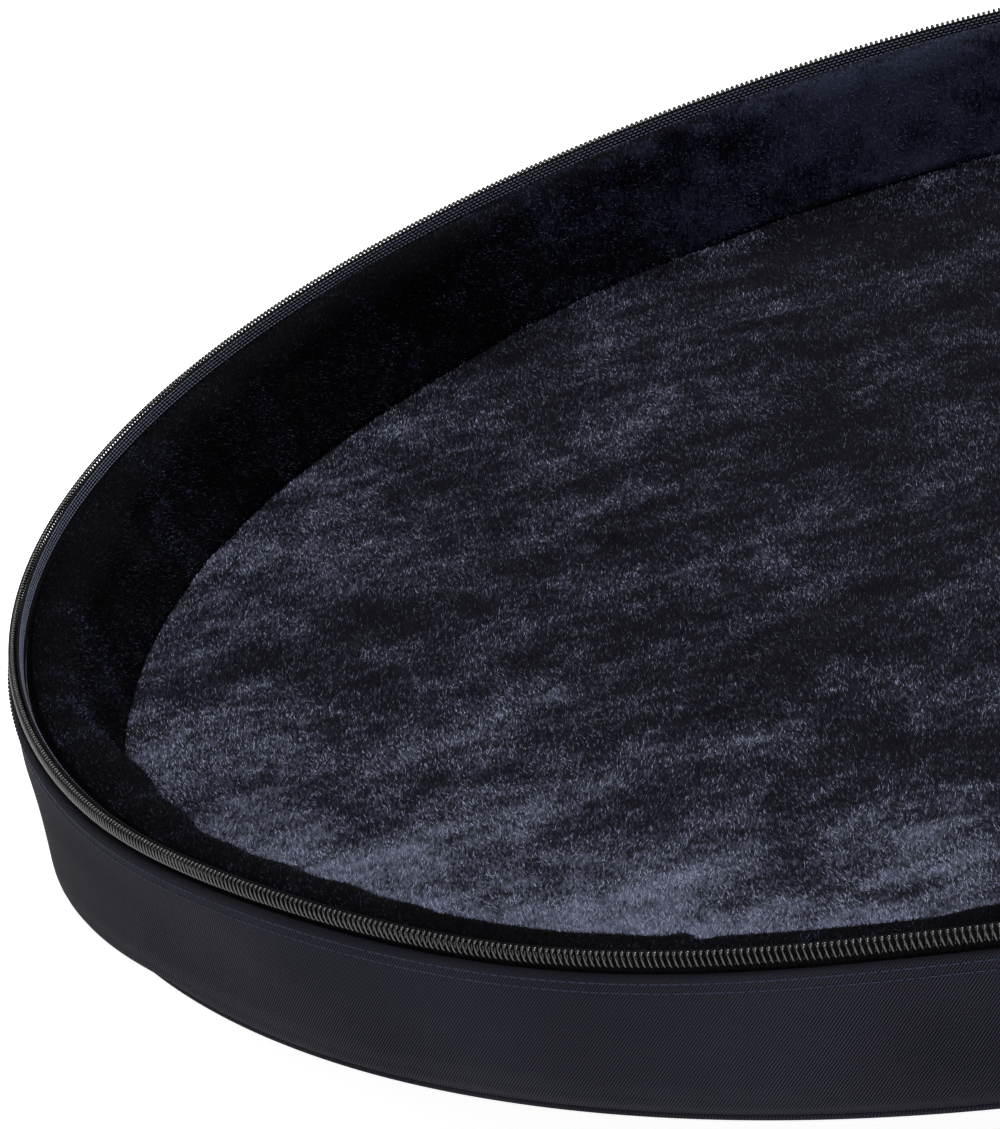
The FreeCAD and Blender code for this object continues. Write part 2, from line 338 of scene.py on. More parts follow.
def plush_tone(look, wall):
    """0 to about 1: tone of the pile. Random patches and streaks where the nap lies differently, their
    sheen painted in as lighter and darker tone, and painted light and shade by position on top.
    """
    leaned = look.where("Object", (0.8, 1.1, 1), math.radians(20))
    patches = look.noise(leaned, 19, 6, 0.62)
    clumps = look.noise(leaned, 95, 4, 0.65)
    tone = look.math("ADD", look.away(patches, 0.36, 1.8), look.away(clumps, 0.5, 1.3))
    parts = look.axes(look.where("Object"))
    if wall:
        # Painted light on the wall: a lit patch that fades in from x -0.84 to -0.64 and y 0.1 to 0.2; the
        # rest of the wall is darkened by 0.3 as painted shade.
        lit = look.math("MULTIPLY", look.span(parts[0], -0.84, -0.64), look.span(parts[1], 0.1, 0.2))
        return look.math("ADD", tone, look.math("MULTIPLY_ADD", lit, 0.85, -0.3))
    # Painted light on the floor: a pool of light toward the front edge (-y), from 0.15 to 0.25 out from the
    # lid's middle.
    from_middle = look.where("Object", (1, 1, 0), place=(0.62, 0, 0))
    spread = look.node("VectorMath", {0: from_middle}, operation="LENGTH").outputs["Value"]
    front = look.math("MULTIPLY", look.span(spread, 0.15, 0.25), look.span(parts[1], 0.02, -0.15))
    tone = look.math("ADD", tone, look.math("MULTIPLY", front, 0.74))
    # Painted shade: the floor is darker toward +x, from x -0.86 to -0.66.
    return look.math("ADD", tone, look.math("MULTIPLY", look.span(parts[0], -0.86, -0.66), -0.26))


def plush_look(name, dark, light, wall=False):
    """Ground of the short plush pile."""
    look = Look(name, roughness=0.9, Specular_IOR_Level=0.03)
    hair = look.noise(look.where("Object", (1, 0.25, 0.35), math.radians(8)), 1500, 3, 0.7)
    # The fine hair streaks also vary the colour: lighter and darker fibres, the lighter ones painted glints
    # of fibre tips.
    tone = look.math("ADD", plush_tone(look, wall), look.away(hair, 0.5, 1.9))
    look.colour(look.ramp(tone, [(0.0, tuple(c * 0.3 for c in dark)), (0.35, dark), (1.0, light)]))
    look.bump(hair, 0.9 * MM, 0.8)
    return look.material


def pile_look(name, dark, light, wall=False):
    """Fibres of the pile: darker toward the root as painted shade down in the pile, and each a little
    lighter or darker than the next, the lightest painted glints.
    """
    look = Look(name, roughness=0.6, Specular_IOR_Level=0.05)
    strand = look.axes(look.where("UV"))
    tone = look.math("ADD", plush_tone(look, wall), look.away(strand[0], 0.4, 1.3))
    # The ramp's top stop, 2.2 times the light colour, paints glints on the lightest fibres.
    colour = look.ramp(tone, [(0.0, tuple(c * 0.3 for c in dark)), (0.35, dark), (0.85, light),
                              (1.0, tuple(c * 2.2 for c in light))])
    # Painted shade in the pile: each fibre is mixed half way to a very dark colour at its root, fading out
    # two thirds of the way up.
    root = tuple(c * 0.2 for c in dark) + (1,)
    look.colour(look.mix(look.math("MULTIPLY_ADD", strand[1], 0.75, 0.5), root, colour))
    return look.material


def coil_look():
    look = Look("zipper_nylon", Specular_IOR_Level=0.65)
    scuff = look.noise(look.where("Object"), 900, 3)
    look.colour(look.ramp(scuff, [(0.3, (0.002, 0.002, 0.0025)), (0.8, (0.006, 0.006, 0.007))]))
    look.put(look.shader.inputs["Roughness"], look.ramp(scuff, [(0.2, (0.14,) * 3), (0.9, (0.22,) * 3)]))
    return look.material


def tape_look():
    """Woven zipper tape: a fine herringbone of ribs along and across."""
    look = Look("zipper_tape", roughness=0.85, Specular_IOR_Level=0.08)
    cloth = look.where("UV")
    along = stripes(look, cloth, math.radians(35), 0.7 * MM)
    across = stripes(look, cloth, math.radians(-35), 0.7 * MM)
    height = look.math("MULTIPLY", along, across)
    look.colour(look.ramp(height, [(0.1, (0.0015, 0.0015, 0.002)), (0.9, (0.009, 0.009, 0.012))]))
    look.bump(height, 0.12 * MM, 0.8)
    return look.material


def thread_look(name, colour):
    look = Look(name, roughness=0.6, Specular_IOR_Level=0.2)
    twist = look.noise(look.where("Object"), 1800, 2)
    look.colour(look.ramp(twist, [(0.3, tuple(c * 0.5 for c in colour)), (0.7, colour)]))
    look.bump(twist, 0.08 * MM, 0.6)
    return look.material


def webbing_look():
    look = Look("webbing", roughness=0.8, Specular_IOR_Level=0.12)
    cloth = look.where("UV")
    ribs = stripes(look, cloth, math.radians(90), 2.0 * MM)
    ticks = stripes(look, cloth, 0.0, 1.1 * MM)
    height = look.math("ADD", look.math("MULTIPLY", ribs, 0.8), look.math("MULTIPLY", ticks, 0.35))
    look.colour(look.ramp(height, [(0.1, (0.0025, 0.0025, 0.0035)), (0.9, (0.016, 0.017, 0.022))]))
    look.bump(height, 0.3 * MM, 0.9)
    return look.material


def foam_look():
    look = Look("foam", roughness=0.95)
    cells = look.node("TexVoronoi", {"Vector": look.where("Object"), "Scale": 900.0}).outputs["Distance"]
    look.colour(look.ramp(cells, [(0.1, (0.05, 0.05, 0.055)), (0.8, (0.09, 0.09, 0.1))]))
    look.bump(cells, 0.3 * MM, 0.7)
    return look.material


def board_look():
    look = Look("board", roughness=0.5)
    grain = look.noise(look.where("Object"), 300, 4)
    look.colour(look.ramp(grain, [(0.3, (0.03, 0.03, 0.03)), (0.7, (0.05, 0.05, 0.05))]))
    look.bump(grain, 0.1 * MM, 0.5)
    return look.material


def metal_look():
    """Black nickel plating, a little rubbed."""
    look = Look("black_nickel", roughness=0.3, Metallic=1.0)
    rub = look.noise(look.where("Object"), 160, 5, 0.6)
    look.colour(look.ramp(rub, [(0.35, (0.06, 0.06, 0.065)), (0.75, (0.16, 0.16, 0.17))]))
    look.put(look.shader.inputs["Roughness"], look.ramp(rub, [(0.3, (0.22,) * 3), (0.8, (0.42,) * 3)]))
    return look.material


def rubber_look():
    look = Look("pull_rubber", roughness=0.6)
    place = look.where("Object")
    upright = look.node("CombineXYZ", {0: look.axes(place)[2]}).outputs[0]
    ribs = stripes(look, upright, 0.0, 2.2 * MM)
    grain = look.math("MULTIPLY", look.noise(place, 1200, 2), 0.3)
    height = look.math("ADD", look.math("MULTIPLY", ribs, 0.8), grain)
    look.colour(look.ramp(height, [(0.1, (0.006, 0.006, 0.007)), (0.9, (0.02, 0.02, 0.022))]))
    look.bump(height, 0.35 * MM, 0.8)
    return look.material


LOOKS = {
    "twill": twill_look(),
    "floor_plush": plush_look("floor_plush", (0.012, 0.0125, 0.0195), (0.095, 0.102, 0.15)),
    # This and the wall pile below: the same pile as the floor's, given far darker colours as painted shade.
    "wall_plush": plush_look("wall_plush", (0.0012, 0.0013, 0.0032), (0.014, 0.016, 0.031), True),
    "floor_pile": pile_look("floor_pile", (0.018, 0.019, 0.031), (0.14, 0.153, 0.22)),
    "wall_pile": pile_look("wall_pile", (0.0014, 0.0016, 0.004), (0.027, 0.031, 0.058), True),
    "coil": coil_look(),
    "tape": tape_look(),
    "navy_thread": thread_look("navy_thread", (0.016, 0.026, 0.052)),
    "grey_thread": thread_look("grey_thread", (0.10, 0.115, 0.17)),
    "webbing": webbing_look(),
    "foam": foam_look(),
    "board": board_look(),
    "metal": metal_look(),
    "rubber": rubber_look(),
}


def finish(obj, look, body, replaces=()):
    """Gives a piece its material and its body."""
    obj.data.materials.clear()
    obj.data.materials.append(LOOKS[look])
    if replaces:
        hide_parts(*replaces)
    if body:
        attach(obj, body)
    return obj


# Sewn shells --------------------------------------------------------------------------------

def slack(half, angle, depth, grid):
    """How far the outer cloth stands off its foam: soft undulation, fuller near the lid's corner."""
    free = np.clip((depth - HEM_DEPTH - 5.5 * MM) / (9 * MM), 0, 1)
    turn = (np.degrees(angle) + 180) % 360 - 180
    if half.lid:
        belly = 3.6 * np.exp(-(turn + 30) ** 2 / 20 ** 2) * (depth / half.depth) ** 2
        return free * (waves(grid, 0.13, 11) * 0.9 + waves(grid, 0.045, 12) * 0.4 + belly) * MM
    foot = np.hypot((np.abs(turn) - 20.5) / 8, (RIM_Z - depth - HANDLE_Z) / (50 * MM))
    free = free * np.clip(foot - 0.8, 0, 1)
    return free * (waves(grid, 0.16, 13) * 2.2 + waves(grid, 0.05, 12) * 0.6) * MM


def outer_side(half):
    """Side panel: outer cloth from the turned hem down to the seam on the corner."""
    corner = half.depth - CORNER
    out_r = OUTER_R
    seam = math.degrees(SEAM_TURN)
    outside = arc(out_r - 1.3 * MM, HEM_DEPTH + 1.3 * MM, 1.3 * MM, -90, 0, 5)
    outside += [(out_r, corner)] + arc(out_r - CORNER, corner, CORNER, 0, seam - 3, 7)
    outside += [(out_r - CORNER + 9.9 * MM * math.cos(SEAM_TURN), corner + 9.9 * MM * math.sin(SEAM_TURN))]
    inside = arc(out_r - CORNER, corner, CORNER - CLOTH, seam - 6, 0, 6)
    inside += [(out_r - CLOTH, HEM_DEPTH + 9 * MM), (TAPE_R + TAPE + 0.5 * MM, HEM_DEPTH + 9 * MM)]
    inside += arc(TAPE_R + TAPE + 1.3 * MM, HEM_DEPTH + 0.8 * MM, 0.8 * MM, 180, 270, 3)
    section = spaced(outside + inside, 3.2 * MM)
    angle, radius, depth = ringed(section)
    flat = half.place(radius, angle, depth)
    stand = slack(half, angle, depth, flat)
    outer = radius > out_r - 1.2 * MM
    radius = radius + np.where(outer, np.maximum(stand, -0.8 * MM), 0)
    shell = half.place(radius, angle, depth)
    shell[..., 2] = np.maximum(shell[..., 2], 0)
    obj = half.piece("outer_side", shell)
    return finish(obj, "twill", half.name, [half.name + "_side_panel"])


def end_panel(half):
    """The flat end, base or lid top, with its edge turned up to the seam on the corner."""
    seam = math.degrees(SEAM_TURN)
    corner = half.depth - CORNER
    edge_r = OUTER_R - CORNER
    outside = arc(edge_r, corner, CORNER, seam + 3, 90, 7)
    inside = arc(edge_r, corner, CORNER - CLOTH, 90, seam + 6, 5)
    flat_out = [(edge_r * k, half.depth) for k in (0.985, 0.96, 0.92, 0.85, 0.7, 0.5, 0.3, 0.12, 0.002)]
    flat_in = [(r, half.depth - CLOTH) for r, _ in reversed(flat_out)]
    lip = [(edge_r + 9.9 * MM * math.cos(SEAM_TURN), corner + 9.9 * MM * math.sin(SEAM_TURN))]
    section = flat_in + inside + lip + outside + flat_out
    angle, radius, depth = ringed(section)
    obj = half.piece("end_panel", half.place(radius, angle, depth), close_columns=False, cap=True)
    planar_cloth(obj, half)
    nodes = [half.name + ("_top_panel" if half.lid else "_base_panel")]
    return finish(obj, "twill", half.name, nodes)


def planar_cloth(obj, half):
    """Lays the weave straight across a flat piece."""
    mesh = obj.data
    points = np.empty(len(mesh.vertices) * 3, dtype=np.float32)
    mesh.vertices.foreach_get("co", points)
    points = points.reshape(-1, 3)
    if half.lid:
        turn = np.array(Matrix.Rotation(OPEN, 3, "Y"))
        points = (points - np.array(AXIS)) @ turn.T
    index = np.empty(len(mesh.loops), dtype=np.int32)
    mesh.loops.foreach_get("vertex_index", index)
    mesh.uv_layers["cloth"].data.foreach_set("uv", points[index][:, :2].astype(np.float32).ravel())


def welt(half):
    """Cloth-covered cord sewn into the corner seam."""
    size = 1.15 * MM
    middle = CORNER - 0.2 * MM
    at_r = OUTER_R - CORNER + middle * math.cos(SEAM_TURN)
    at_depth = half.depth - CORNER + middle * math.sin(SEAM_TURN)
    section = arc(at_r, at_depth, size, 0, 330, 12)
    angle, radius, depth = ringed(section, rows=1080)
    obj = half.piece("welt_cord", half.place(radius, angle, depth))
    return finish(obj, "twill", half.name, [half.name + ("_welt" if half.lid else "_base_welt")])


def stitches(half, name, radius, depth, length, gap, thick, look, end=math.pi, rise=0.35, lead=0.0):
    """A row of thread stitches round the half, each a short bead lying on the cloth."""
    reach = 2 * end * radius
    count = int(reach / (length + gap))
    middles = (np.arange(count) + 0.5 + lead) / count * 2 * end - end
    rings = np.array([-0.5, -0.36, 0.0, 0.36, 0.5])
    fat = np.array([0.35, 0.9, 1.0, 0.9, 0.35])
    turn = np.radians([0, 72, 144, 216, 288])
    angle = middles[:, None, None] + rings[None, :, None] * length / radius + 0 * turn
    lift = thick * fat[None, :, None] * np.cos(turn) + thick * rise * fat[None, :, None]
    drop = thick * fat[None, :, None] * np.sin(turn) * 0.8
    points = half.place(radius + lift + 0 * angle, angle, depth + drop + 0 * angle)
    columns = len(turn)
    faces, _ = grid_faces(len(rings), columns, False, True)
    each = len(rings) * columns
    every = (faces[None] + np.arange(count)[:, None, None] * each).reshape(-1, 4)
    if not half.lid:
        every = every[:, ::-1]
    obj = mesh_object(half.name + "_" + name, points.reshape(-1, 3), every)
    close_ends(obj)
    return finish(obj, look, half.name)


# Zipper -------------------------------------------------------------------------------------

def coil(half):
    """Spiral coil: one nylon filament wound up over the tape's edge, tooth after tooth."""
    turns = int(2 * half.coil_end * COIL_R / PITCH)
    per_turn = 14
    steps = np.arange(turns * per_turn + 1)
    phase = steps * math.tau / per_turn
    angle = steps / per_turn * PITCH / COIL_R - half.coil_end
    high = COIL_HIGH / 2 - WIRE_R
    wide = COIL_WIDE / 2 - WIRE_R
    square = np.abs(np.cos(phase)) ** 0.75 * np.sign(np.cos(phase))
    depth = COIL_DEPTH - high * square
    radius = COIL_R - wide * np.sin(phase)
    centre = np.stack([radius, angle * COIL_R, depth], -1)
    tangent = np.gradient(centre, axis=0)
    tangent /= np.linalg.norm(tangent, axis=1)[:, None]
    outward = np.stack([-np.sin(phase) * high, 0 * phase, -square * wide], -1)
    side = np.cross(tangent, outward)
    side /= np.linalg.norm(side, axis=1)[:, None]
    normal = np.cross(side, tangent)
    head = 0.85 + 0.95 * np.clip(np.cos(phase), 0, 1) ** 6 + 0.2 * np.clip(-np.cos(phase), 0, 1) ** 6
    spokes = np.radians([0, 60, 120, 180, 240, 300])
    swell = WIRE_R * head[:, None, None]
    tube = centre[:, None] + swell * (np.cos(spokes)[None, :, None] * normal[:, None]
                                      + np.sin(spokes)[None, :, None] * side[:, None])
    grid = half.place(tube[..., 0], tube[..., 1] / COIL_R, tube[..., 2])
    faces, _ = grid_faces(len(steps), len(spokes), False, True)
    obj = mesh_object(half.name + "_coil", grid.reshape(-1, 3), faces[:, ::-1] if half.lid else faces)
    close_ends(obj)
    return finish(obj, "coil", half.name, [half.name + "_zipper_coil"])


def tape(half):
    """Woven tape that carries the coil, from its folded edge down into the seam."""
    top, low = 0.9 * MM, 19.5 * MM
    section = spaced([(TAPE_R + TAPE, top + 0.3 * MM), (TAPE_R + TAPE, low), (TAPE_R, low),
                      (TAPE_R, top + 0.3 * MM), (TAPE_R + TAPE / 2, top)], 2 * MM)
    angle, radius, depth = ringed(section, rows=600, start=-half.tape_end, end=half.tape_end,
                                  closed=False)
    obj = half.piece("tape", half.place(radius, angle, depth), close_rows=False, cap=True)
    return finish(obj, "tape", half.name, [half.name + "_zipper_tape"])


def end_tabs(half):
    """Cloth tabs folded over the two ends of the coil."""
    place = half.coil_end + math.radians(0.9)
    section = [(TAPE_R + TAPE + 1.45 * MM + x * 1.35 * MM, COIL_DEPTH + y * 2 * MM)
               for x, y in arc(0, 0, 1, 0, 360, 13)[:-1]]
    for side in (-1, 1):
        angle, radius, depth = ringed(section, rows=9, start=side * place - math.radians(0.85),
                                      end=side * place + math.radians(0.85), closed=False)
        name = "end_tab_" + ("left" if side < 0 else "right")
        obj = half.piece(name, half.place(radius, angle, depth), close_rows=False, cap=True)
        finish(obj, "tape", half.name, [half.name + "_zipper_end_tabs"])


# Plush lining -------------------------------------------------------------------------------

def creases(angle, depth, half):
    """Upright creases where the wall lining is gathered. Positive stands into the bag."""
    total = np.zeros_like(angle)
    rng = np.random.default_rng(5)
    for centre in np.radians([69, 76, 82, 87, 172, 196, 203, 300]):
        width = math.radians(rng.uniform(0.5, 0.95))
        sway = math.radians(1.2) * np.sin(depth / half.depth * 3 + centre)
        away = (angle - centre - sway + math.pi) % math.tau - math.pi
        total -= np.exp(-(away / width) ** 2) * 2.6 * MM
        total += np.exp(-((away - 2.4 * width) / width) ** 2) * 2.0 * MM
    return total


def wall_line(floor_depth):
    """Section of the wall's plush face, from the floor up, over the crown and out to the tape."""
    line = [(PLUSH_R - 5 * MM, floor_depth), (PLUSH_R - 1.5 * MM, BRIM_DEPTH + 9 * MM)]
    line += arc(PLUSH_R + 5 * MM, BRIM_DEPTH + 6.5 * MM, 6.5 * MM, 180, 270, 8)
    return line + [(BRIM_R - 2.2 * MM, BRIM_DEPTH + 0.6 * MM)]


def wall_shape(half, floor_depth, radius, angle, depth):
    """Soft hollows and creases of the wall's plush face."""
    flat = half.place(radius, angle, depth)
    soft = waves(flat, 0.07, 21) * 1.5 * MM + waves(flat, 0.02, 22) * 0.5 * MM
    inner = np.clip((PLUSH_R + 6 * MM - radius) / (5 * MM), 0, 1)
    inner = inner * np.clip((floor_depth - depth) / (6 * MM), 0.25, 1)
    crown = np.clip(1 - np.abs(radius - PLUSH_R - 6 * MM) / (8 * MM), 0, 1) * (depth < BRIM_DEPTH + 4 * MM)
    reach = radius - inner * (np.maximum(soft, -1.2 * MM) + creases(angle, depth, half))
    return half.place(reach, angle, depth - crown * np.maximum(soft, -0.5 * MM) * 0.5)


def wall_plush(half, floor_depth):
    """Plush over the foam wall, rolled out over the rim to the tape."""
    line = wall_line(floor_depth)
    back = [(BRIM_R - 1.8 * MM, BRIM_DEPTH + 2.6 * MM), (BRIM_R, BRIM_DEPTH + 2.8 * MM),
            (BRIM_R, BRIM_DEPTH + 4.0 * MM), (WALL_R + 1 * MM, BRIM_DEPTH + 5 * MM), (WALL_R, floor_depth)]
    section = spaced(line + back, 2.6 * MM)
    angle, radius, depth = ringed(section, rows=900)
    obj = half.piece("wall_plush", wall_shape(half, floor_depth, radius, angle, depth))
    return finish(obj, "wall_plush", half.name, [half.name + "_wall_lining"])


def floor_shape(half, floor_depth, radius, angle):
    """The floor's plush face: a little crowned and uneven, dipping to the seam round its edge."""
    edge = PLUSH_R - 0.4 * MM
    flat = half.place(radius, angle, floor_depth + 0 * radius)
    dip = 1.2 * MM * np.exp(-(edge - radius) / (6 * MM))
    soft = waves(flat, 0.10, 31) * 0.9 * MM
    soft = soft + waves(flat, 0.03, 32) * 0.5 * MM + waves(flat, 0.011, 33) * 0.25 * MM
    calm = np.clip((edge - radius) / (12 * MM), 0, 1)
    return half.place(radius, angle, floor_depth + dip - calm * np.maximum(soft, -1.5 * MM))


def floor_plush(half, floor_depth):
    """Plush pad on the floor."""
    edge = PLUSH_R - 0.4 * MM
    rings = np.linspace(1.0, 0.004, 118) ** 0.9 * edge
    angle, radius, _ = ringed([(r, floor_depth) for r in rings], rows=540)
    face = floor_shape(half, floor_depth, radius, angle)
    under = [(rings[-1], floor_depth + 2.8 * MM), (edge, floor_depth + 2.8 * MM)]
    back = half.place(*(ringed(under, rows=540)[k] for k in (1, 0, 2)))
    obj = half.piece("floor_plush", np.concatenate([back, face], 1), close_columns=False, cap=True)
    return finish(obj, "floor_plush", half.name, [half.name + "_floor_lining"])


def pile(half, name, look, face, count, length, wide, seed, loose):
    """Plush fibres, each one face. face(angle, share) gives points of the lining they stand on."""
    rng = np.random.default_rng(seed)
    angle = rng.uniform(0, math.tau, count)
    share = rng.uniform(0.002, 0.995, count)
    root = face(angle, share)
    round_it = face(angle + 0.004, share) - root
    along = face(angle, share + 0.003) - root
    normal = unit(np.cross(along, round_it)) * (-1 if half.lid else 1)
    nap = np.stack([0.3 + 0.5 * waves(root, 0.05, seed + 1), 1 + 0.5 * waves(root, 0.06, seed + 2),
                    0.3 * waves(root, 0.04, seed + 3)], -1)
    nap = unit(nap + rng.normal(size=(count, 3)) * loose)
    stand = rng.uniform(0.35, 0.75, count)[:, None]
    tip = root + length * rng.uniform(0.6, 1.1, count)[:, None] * unit(
        normal * stand + (nap - normal * np.sum(nap * normal, 1)[:, None]) * 0.8)
    side = unit(np.cross(tip - root, normal + rng.normal(size=(count, 3)) * 0.4)) * wide / 2
    points = np.stack([root - side, root + side, tip], 1).reshape(-1, 3)
    # Each fibre's first uv value is a random tone, whose highest values the material paints as glints; the
    # second runs from root (0) to tip (1), for the painted shade at the root.
    shade = rng.uniform(0, 1, count)
    uv = np.stack([np.stack([shade, shade * 0], -1), np.stack([shade, shade * 0], -1),
                   np.stack([shade, shade * 0 + 1], -1)], 1)
    obj = mesh_object(half.name + "_" + name, points, np.arange(3 * count).reshape(-1, 3), uv, smooth=False)
    return finish(obj, look, half.name)


def unit(vectors):
    return vectors / np.linalg.norm(vectors, axis=-1)[..., None]


def linings(half, floor_depth, floor_count, floor_seeds, wall_count, coarse):
    """Floor and wall plush with their pile."""
    floor_plush(half, floor_depth)
    wall_plush(half, floor_depth)
    edge = PLUSH_R - 4 * MM
    line = np.array(wall_line(floor_depth))
    reach = np.concatenate([[0], np.cumsum(np.linalg.norm(np.diff(line, axis=0), axis=1))])

    def on_floor(angle, share):
        return floor_shape(half, floor_depth, edge * np.sqrt(share), angle)

    def on_wall(angle, share):
        at = share * reach[-1]
        radius = np.interp(at, reach, line[:, 0])
        return wall_shape(half, floor_depth, radius, angle, np.interp(at, reach, line[:, 1]))

    for part, seed in enumerate(floor_seeds):
        pile(half, "floor_pile_%d" % (part + 1), "floor_pile", on_floor, floor_count, 1.2 * MM * coarse,
             0.25 * MM * coarse, seed, 0.55)
    pile(half, "wall_pile", "wall_pile", on_wall, wall_count, 1.0 * MM * coarse, 0.25 * MM * coarse,
         51, 1.2)


# Hinge, handle, hardware --------------------------------------------------------------------

def hinge_cloth(halves):
    """Cloth strip sewn between both hems, over the hinge axis."""
    body, lid = halves
    rows, bend = 60, 15
    across = np.linspace(-0.058, 0.058, rows)
    reach_r = TAPE_R + TAPE / 2
    angle = math.pi - across / reach_r
    tails = []
    for half in (body, lid):
        tails.append([half.place(reach_r + 0 * angle, angle, d + 0 * angle)
                      for d in (16 * MM, 7 * MM, 2 * MM)])
    start, end = tails[0][-1], tails[1][-1]
    path = list(tails[0])
    crown = 6.5 * MM
    for k in range(1, bend):
        s = k / bend
        middle = start * (1 - s) + end * s
        middle[:, 2] += crown * 4 * s * (1 - s) + 0.5 * MM * np.sin(across * 260)
        path.append(middle)
    path += tails[1][::-1]
    path = np.stack(path, 1)
    step = np.gradient(path, axis=1)
    normal = np.cross(step, np.array([0.0, 1.0, 0.0]))
    normal /= np.linalg.norm(normal, axis=2)[..., None]
    skin = np.concatenate([path + normal * 0.45 * MM, (path - normal * 0.45 * MM)[:, ::-1]], 1)
    obj = loft("hinge_cloth", skin, close_rows=False, cap=True)
    finish(obj, "tape", None, ["hinge_gusset"])
    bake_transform(obj)
    return obj


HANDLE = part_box("handle_strap")
HANDLE_Z = (HANDLE[0][2] + HANDLE[1][2]) / 2
HANDLE_HALF_W = (HANDLE[1][2] - HANDLE[0][2]) / 2
HANDLE_FOOT = (math.radians(16), math.radians(25))
PATCH = 1.2 * MM
WEBBING = 2.5 * MM


def handle_line(offset, steps=90):
    """The strap's line in plan, at this distance outside its middle: foot, arch, foot."""
    near, far = HANDLE_FOOT
    foot_r = OUTER_R + PATCH + WEBBING / 2
    start = np.array([foot_r * math.cos(near), foot_r * math.sin(near)])
    apex = HANDLE[1][0] - WEBBING / 2
    rise = apex - start[0]
    bend = (start[1] ** 2 + rise ** 2) / (2 * rise)
    swing = math.asin(start[1] / bend)
    sewn = np.linspace(far, near, 14)
    foot = np.stack([(foot_r + offset) * np.cos(sewn), (foot_r + offset) * np.sin(sewn)], 1)
    turn = np.linspace(swing * 0.93, -swing * 0.93, steps)
    arch = np.stack([apex - bend + (bend + offset) * np.cos(turn), (bend + offset) * np.sin(turn)], 1)
    return np.concatenate([foot, arch, foot[::-1] * [1, -1]])


def strap_piece(name, line_out, line_in, half_width):
    """A flat band standing on edge along a line in plan."""
    levels = np.array([-1, -0.96, -0.5, 0, 0.5, 0.96, 1]) * half_width
    pinch = np.array([0.5, 1, 1, 1, 1, 1, 0.5])
    middle = (line_out + line_in) / 2
    half = (line_out - line_in) / 2
    front = [np.concatenate([middle + half * p, np.full((len(middle), 1), HANDLE_Z + z)], 1)
             for p, z in zip(pinch, levels)]
    back = [np.concatenate([middle - half * p, np.full((len(middle), 1), HANDLE_Z + z)], 1)
            for p, z in zip(pinch[::-1], levels[::-1])]
    grid = np.stack(front + back, 1)
    return loft(name, grid, close_rows=False, cap=True)


def handle():
    """Webbing handle with sewn feet, patches under them and a padded grip."""
    strap = strap_piece("handle_webbing", handle_line(WEBBING / 2), handle_line(-WEBBING / 2),
                        HANDLE_HALF_W)
    finish(strap, "webbing", "body", ["handle_strap"])
    near, far = HANDLE_FOOT
    for side in (-1, 1):
        turn = np.linspace(side * (far + 0.02), side * (near - 0.02), 24)
        line = [np.stack([r * np.cos(turn), r * np.sin(turn)], 1) for r in (OUTER_R + PATCH, OUTER_R)]
        name = "handle_patch_" + ("right" if side > 0 else "left")
        patch = strap_piece(name, *line, HANDLE_HALF_W + 6 * MM)
        finish(patch, "twill", "body", ["handle_patches"])
        foot_stitches(side)
    grip()


def foot_stitches(side):
    """Box and cross stitched through one foot of the strap."""
    near, far = HANDLE_FOOT
    reach = OUTER_R + PATCH + WEBBING
    start, stop = (near + 0.02) * reach, (far - 0.02) * reach
    high = HANDLE_HALF_W - 3 * MM
    corners = np.array([(start, -high), (stop, -high), (stop, high), (start, high), (start, -high),
                        (stop, high), (start, high), (stop, -high)])
    spokes = np.radians(np.arange(0, 360, 60))
    rings = ((-1.1, 0.3), (-0.66, 1), (0.66, 1), (1.1, 0.3))
    points = []
    for a, b in zip(corners, corners[1:]):
        along = (b - a) / np.linalg.norm(b - a)
        across = np.array([-along[1], along[0]])
        for middle in np.arange(1.4 * MM, np.linalg.norm(b - a) - 1 * MM, 2.8 * MM):
            for (k, fat), t in itertools.product(rings, spokes):
                place = a + along * (middle + k * MM) + across * math.cos(t) * fat * 0.3 * MM
                r = reach + (0.5 + math.sin(t)) * fat * 0.22 * MM
                turn = side * place[0] / reach
                points.append((r * math.cos(turn), r * math.sin(turn), HANDLE_Z + place[1]))
    bead, _ = grid_faces(len(rings), len(spokes), False, True)
    each = len(rings) * len(spokes)
    faces = (bead[None] + np.arange(len(points) // each)[:, None, None] * each).reshape(-1, 4)
    obj = mesh_object("handle_stitches_" + ("right" if side > 0 else "left"), points, faces)
    close_ends(obj)
    finish(obj, "navy_thread", "body")


def grip():
    """Padded sleeve round the middle of the handle, full in the middle and bound at its ends."""
    line = handle_line(0.0, 120)
    inner = [i for i in range(len(line)) if abs(line[i][1]) < 0.055]
    middle = line[inner]
    along = np.gradient(middle, axis=0)
    along /= np.linalg.norm(along, axis=1)[:, None]
    outward = np.stack([-along[:, 1], along[:, 0]], 1)
    s = np.linspace(-1, 1, len(middle))
    full = 1 - 0.35 * np.abs(s) ** 6 + 0.02 * np.sin(s * 40)
    turn = np.linspace(0, math.tau, 36, endpoint=False)
    thick, high = 5.6 * MM, HANDLE_HALF_W + 3.6 * MM
    super_c = np.sign(np.cos(turn)) * np.abs(np.cos(turn)) ** 0.8
    super_s = np.sign(np.sin(turn)) * np.abs(np.sin(turn)) ** 0.55
    plan = middle[:, None] + outward[:, None] * (full[:, None] * thick * super_c)[..., None]
    level = HANDLE_Z + full[:, None] * high * super_s
    grid = np.concatenate([plan, level[..., None]], 2)
    obj = loft("handle_sleeve", grid, close_rows=False, cap=True)
    return finish(obj, "twill", "body", ["handle_grip"])


